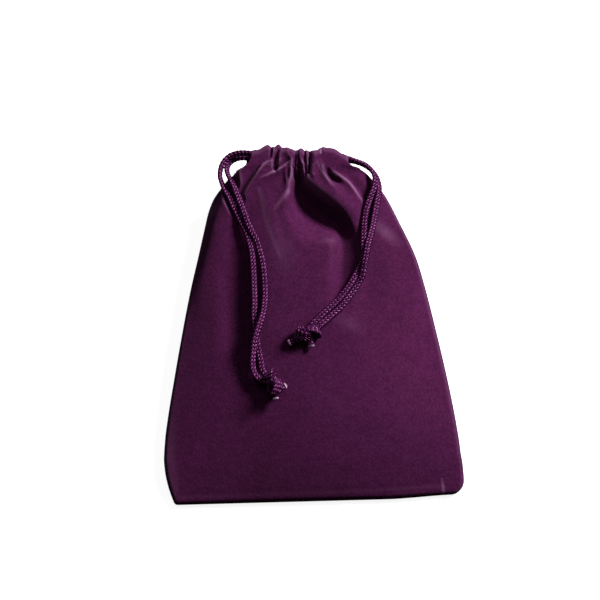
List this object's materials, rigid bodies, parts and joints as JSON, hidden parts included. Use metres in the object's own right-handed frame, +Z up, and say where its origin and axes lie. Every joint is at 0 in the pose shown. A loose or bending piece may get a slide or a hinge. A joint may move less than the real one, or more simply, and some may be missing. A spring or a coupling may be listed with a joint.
{
  "type": "drawstring pouch",
  "caption": "Small velvet drawstring pouch for dice, lying on its back with the mouth drawn closed and both knotted braided cords laid over the front.",
  "frame": {"origin": "under the middle of the bag, on the surface it lies on", "axes": "+X to the bag's right as it lies, +Y from the bottom seam to the mouth, +Z up out of the front panel"},
  "size_m": [0.0994, 0.123, 0.0215],
  "materials": {
    "velvet": "deep plum velvet with a short dense pile, soft sheen on the folds",
    "thread": "plum polyester sewing thread",
    "cord": "satin plum nylon braid, eight carriers"
  },
  "bodies": {
    "bag": {"front_panel": "velvet", "back_panel": "velvet", "left_side_seam_thread": "thread", "right_side_seam_thread": "thread", "bottom_seam_thread": "thread", "front_casing_thread": "thread", "back_casing_thread": "thread", "left_cord_casing_run": "cord", "right_cord_casing_run": "cord"},
    "left_drawstring": {"left_cord_front_strand": "cord", "left_cord_back_strand": "cord", "left_knot": "cord", "left_cord_end_a": "cord", "left_cord_end_b": "cord"},
    "right_drawstring": {"right_cord_front_strand": "cord", "right_cord_back_strand": "cord", "right_knot": "cord", "right_cord_end_a": "cord", "right_cord_end_b": "cord"}
  },
  "joints": [
    {"name": "left_cord_pull", "type": "slide", "parent": "bag", "child": "left_drawstring", "axis": [-1, 0, 0], "range_m": [0, 0.008]},
    {"name": "right_cord_pull", "type": "slide", "parent": "bag", "child": "right_drawstring", "axis": [1, 0, 0], "range_m": [0, 0.008]}
  ]
}
